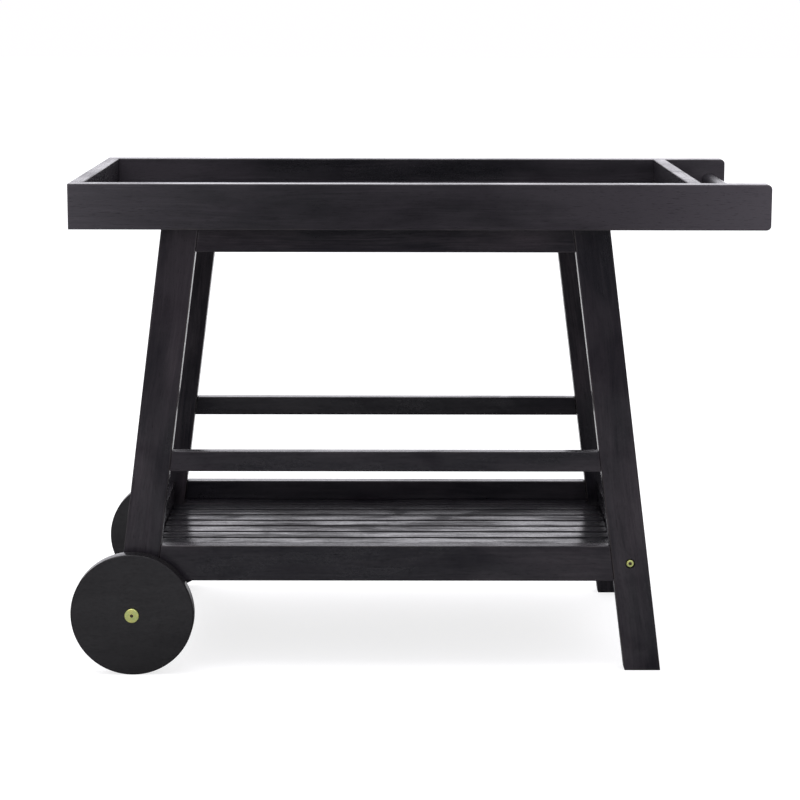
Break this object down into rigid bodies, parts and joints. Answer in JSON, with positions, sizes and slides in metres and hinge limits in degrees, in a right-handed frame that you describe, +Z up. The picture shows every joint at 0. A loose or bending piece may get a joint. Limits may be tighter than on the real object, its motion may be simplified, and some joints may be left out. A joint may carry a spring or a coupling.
{
  "type": "bar cart",
  "caption": "Black-stained wooden bar cart: railed tray with a handle bar, splayed legs, slatted bottle shelf and solid wooden wheels on a through axle.",
  "frame": {"origin": "on the floor, under the middle of the whole cart", "axes": "+Z up, +X along the cart toward the handle end, +Y across it; the wheels are at -X and turn about Y"},
  "size_m": [1.053, 0.5748, 0.75],
  "materials": {
    "stained_wood": "black stain under a satin lacquer, fine straight grain just showing",
    "slat_wood": "black stain under a satin lacquer, grain along each slat",
    "turned_wood": "black stain under a satin lacquer on turned wood",
    "wheel_wood": "black stain, flatter than the frame, rounded arrises",
    "fixing_brass": "yellow zinc plating, slightly green, satin",
    "axle_steel": "bright turned steel",
    "bush_nylon": "natural nylon, matt"
  },
  "bodies": {
    "cart_frame": {"tray_side_rail_front": "stained_wood", "tray_side_rail_back": "stained_wood", "tray_end_board_left": "stained_wood", "tray_end_board_right": "stained_wood", "handle_bar": "turned_wood", "tray_slat_01": "slat_wood", "tray_slat_02": "slat_wood", "tray_slat_03": "slat_wood", "tray_slat_04": "slat_wood", "tray_slat_05": "slat_wood", "tray_slat_06": "slat_wood", "tray_slat_07": "slat_wood", "tray_slat_08": "slat_wood", "tray_slat_09": "slat_wood", "tray_slat_10": "slat_wood", "tray_slat_11": "slat_wood", "tray_batten_left": "stained_wood", "tray_batten_middle": "stained_wood", "tray_batten_right": "stained_wood", "leg_front_left": "stained_wood", "leg_front_right": "stained_wood", "leg_back_left": "stained_wood", "leg_back_right": "stained_wood", "apron_front": "stained_wood", "guard_rail_front": "stained_wood", "shelf_rail_front": "stained_wood", "apron_back": "stained_wood", "guard_rail_back": "stained_wood", "shelf_rail_back": "stained_wood", "apron_left": "stained_wood", "shelf_cross_rail_left": "stained_wood", "apron_right": "stained_wood", "shelf_cross_rail_right": "stained_wood", "shelf_slat_01": "slat_wood", "shelf_slat_02": "slat_wood", "shelf_slat_03": "slat_wood", "shelf_slat_04": "slat_wood", "shelf_slat_05": "slat_wood", "shelf_slat_06": "slat_wood", "shelf_slat_07": "slat_wood", "shelf_slat_08": "slat_wood", "shelf_slat_09": "slat_wood", "shelf_slat_10": "slat_wood", "shelf_slat_11": "slat_wood", "shelf_batten_left": "stained_wood", "shelf_batten_middle": "stained_wood", "shelf_batten_right": "stained_wood", "axle_washer_front": "axle_steel", "axle_washer_back": "axle_steel", "axle": "axle_steel", "axle_cap_bolt_front": "fixing_brass", "leg_bolt_front_left": "fixing_brass", "leg_bolt_front_right": "fixing_brass", "axle_cap_bolt_back": "fixing_brass", "leg_bolt_back_left": "fixing_brass", "leg_bolt_back_right": "fixing_brass"},
    "front_wheel": {"wheel_front": "wheel_wood", "wheel_bush_front": "bush_nylon"},
    "back_wheel": {"wheel_back": "wheel_wood", "wheel_bush_back": "bush_nylon"}
  },
  "joints": [
    {"name": "front_wheel_spin", "type": "hinge", "parent": "cart_frame", "child": "front_wheel", "pos_m": [-0.43251, -0.2697, 0.094], "axis": [0, 1, 0], "continuous": true},
    {"name": "back_wheel_spin", "type": "hinge", "parent": "cart_frame", "child": "back_wheel", "pos_m": [-0.43251, 0.2697, 0.094], "axis": [0, 1, 0], "continuous": true}
  ]
}
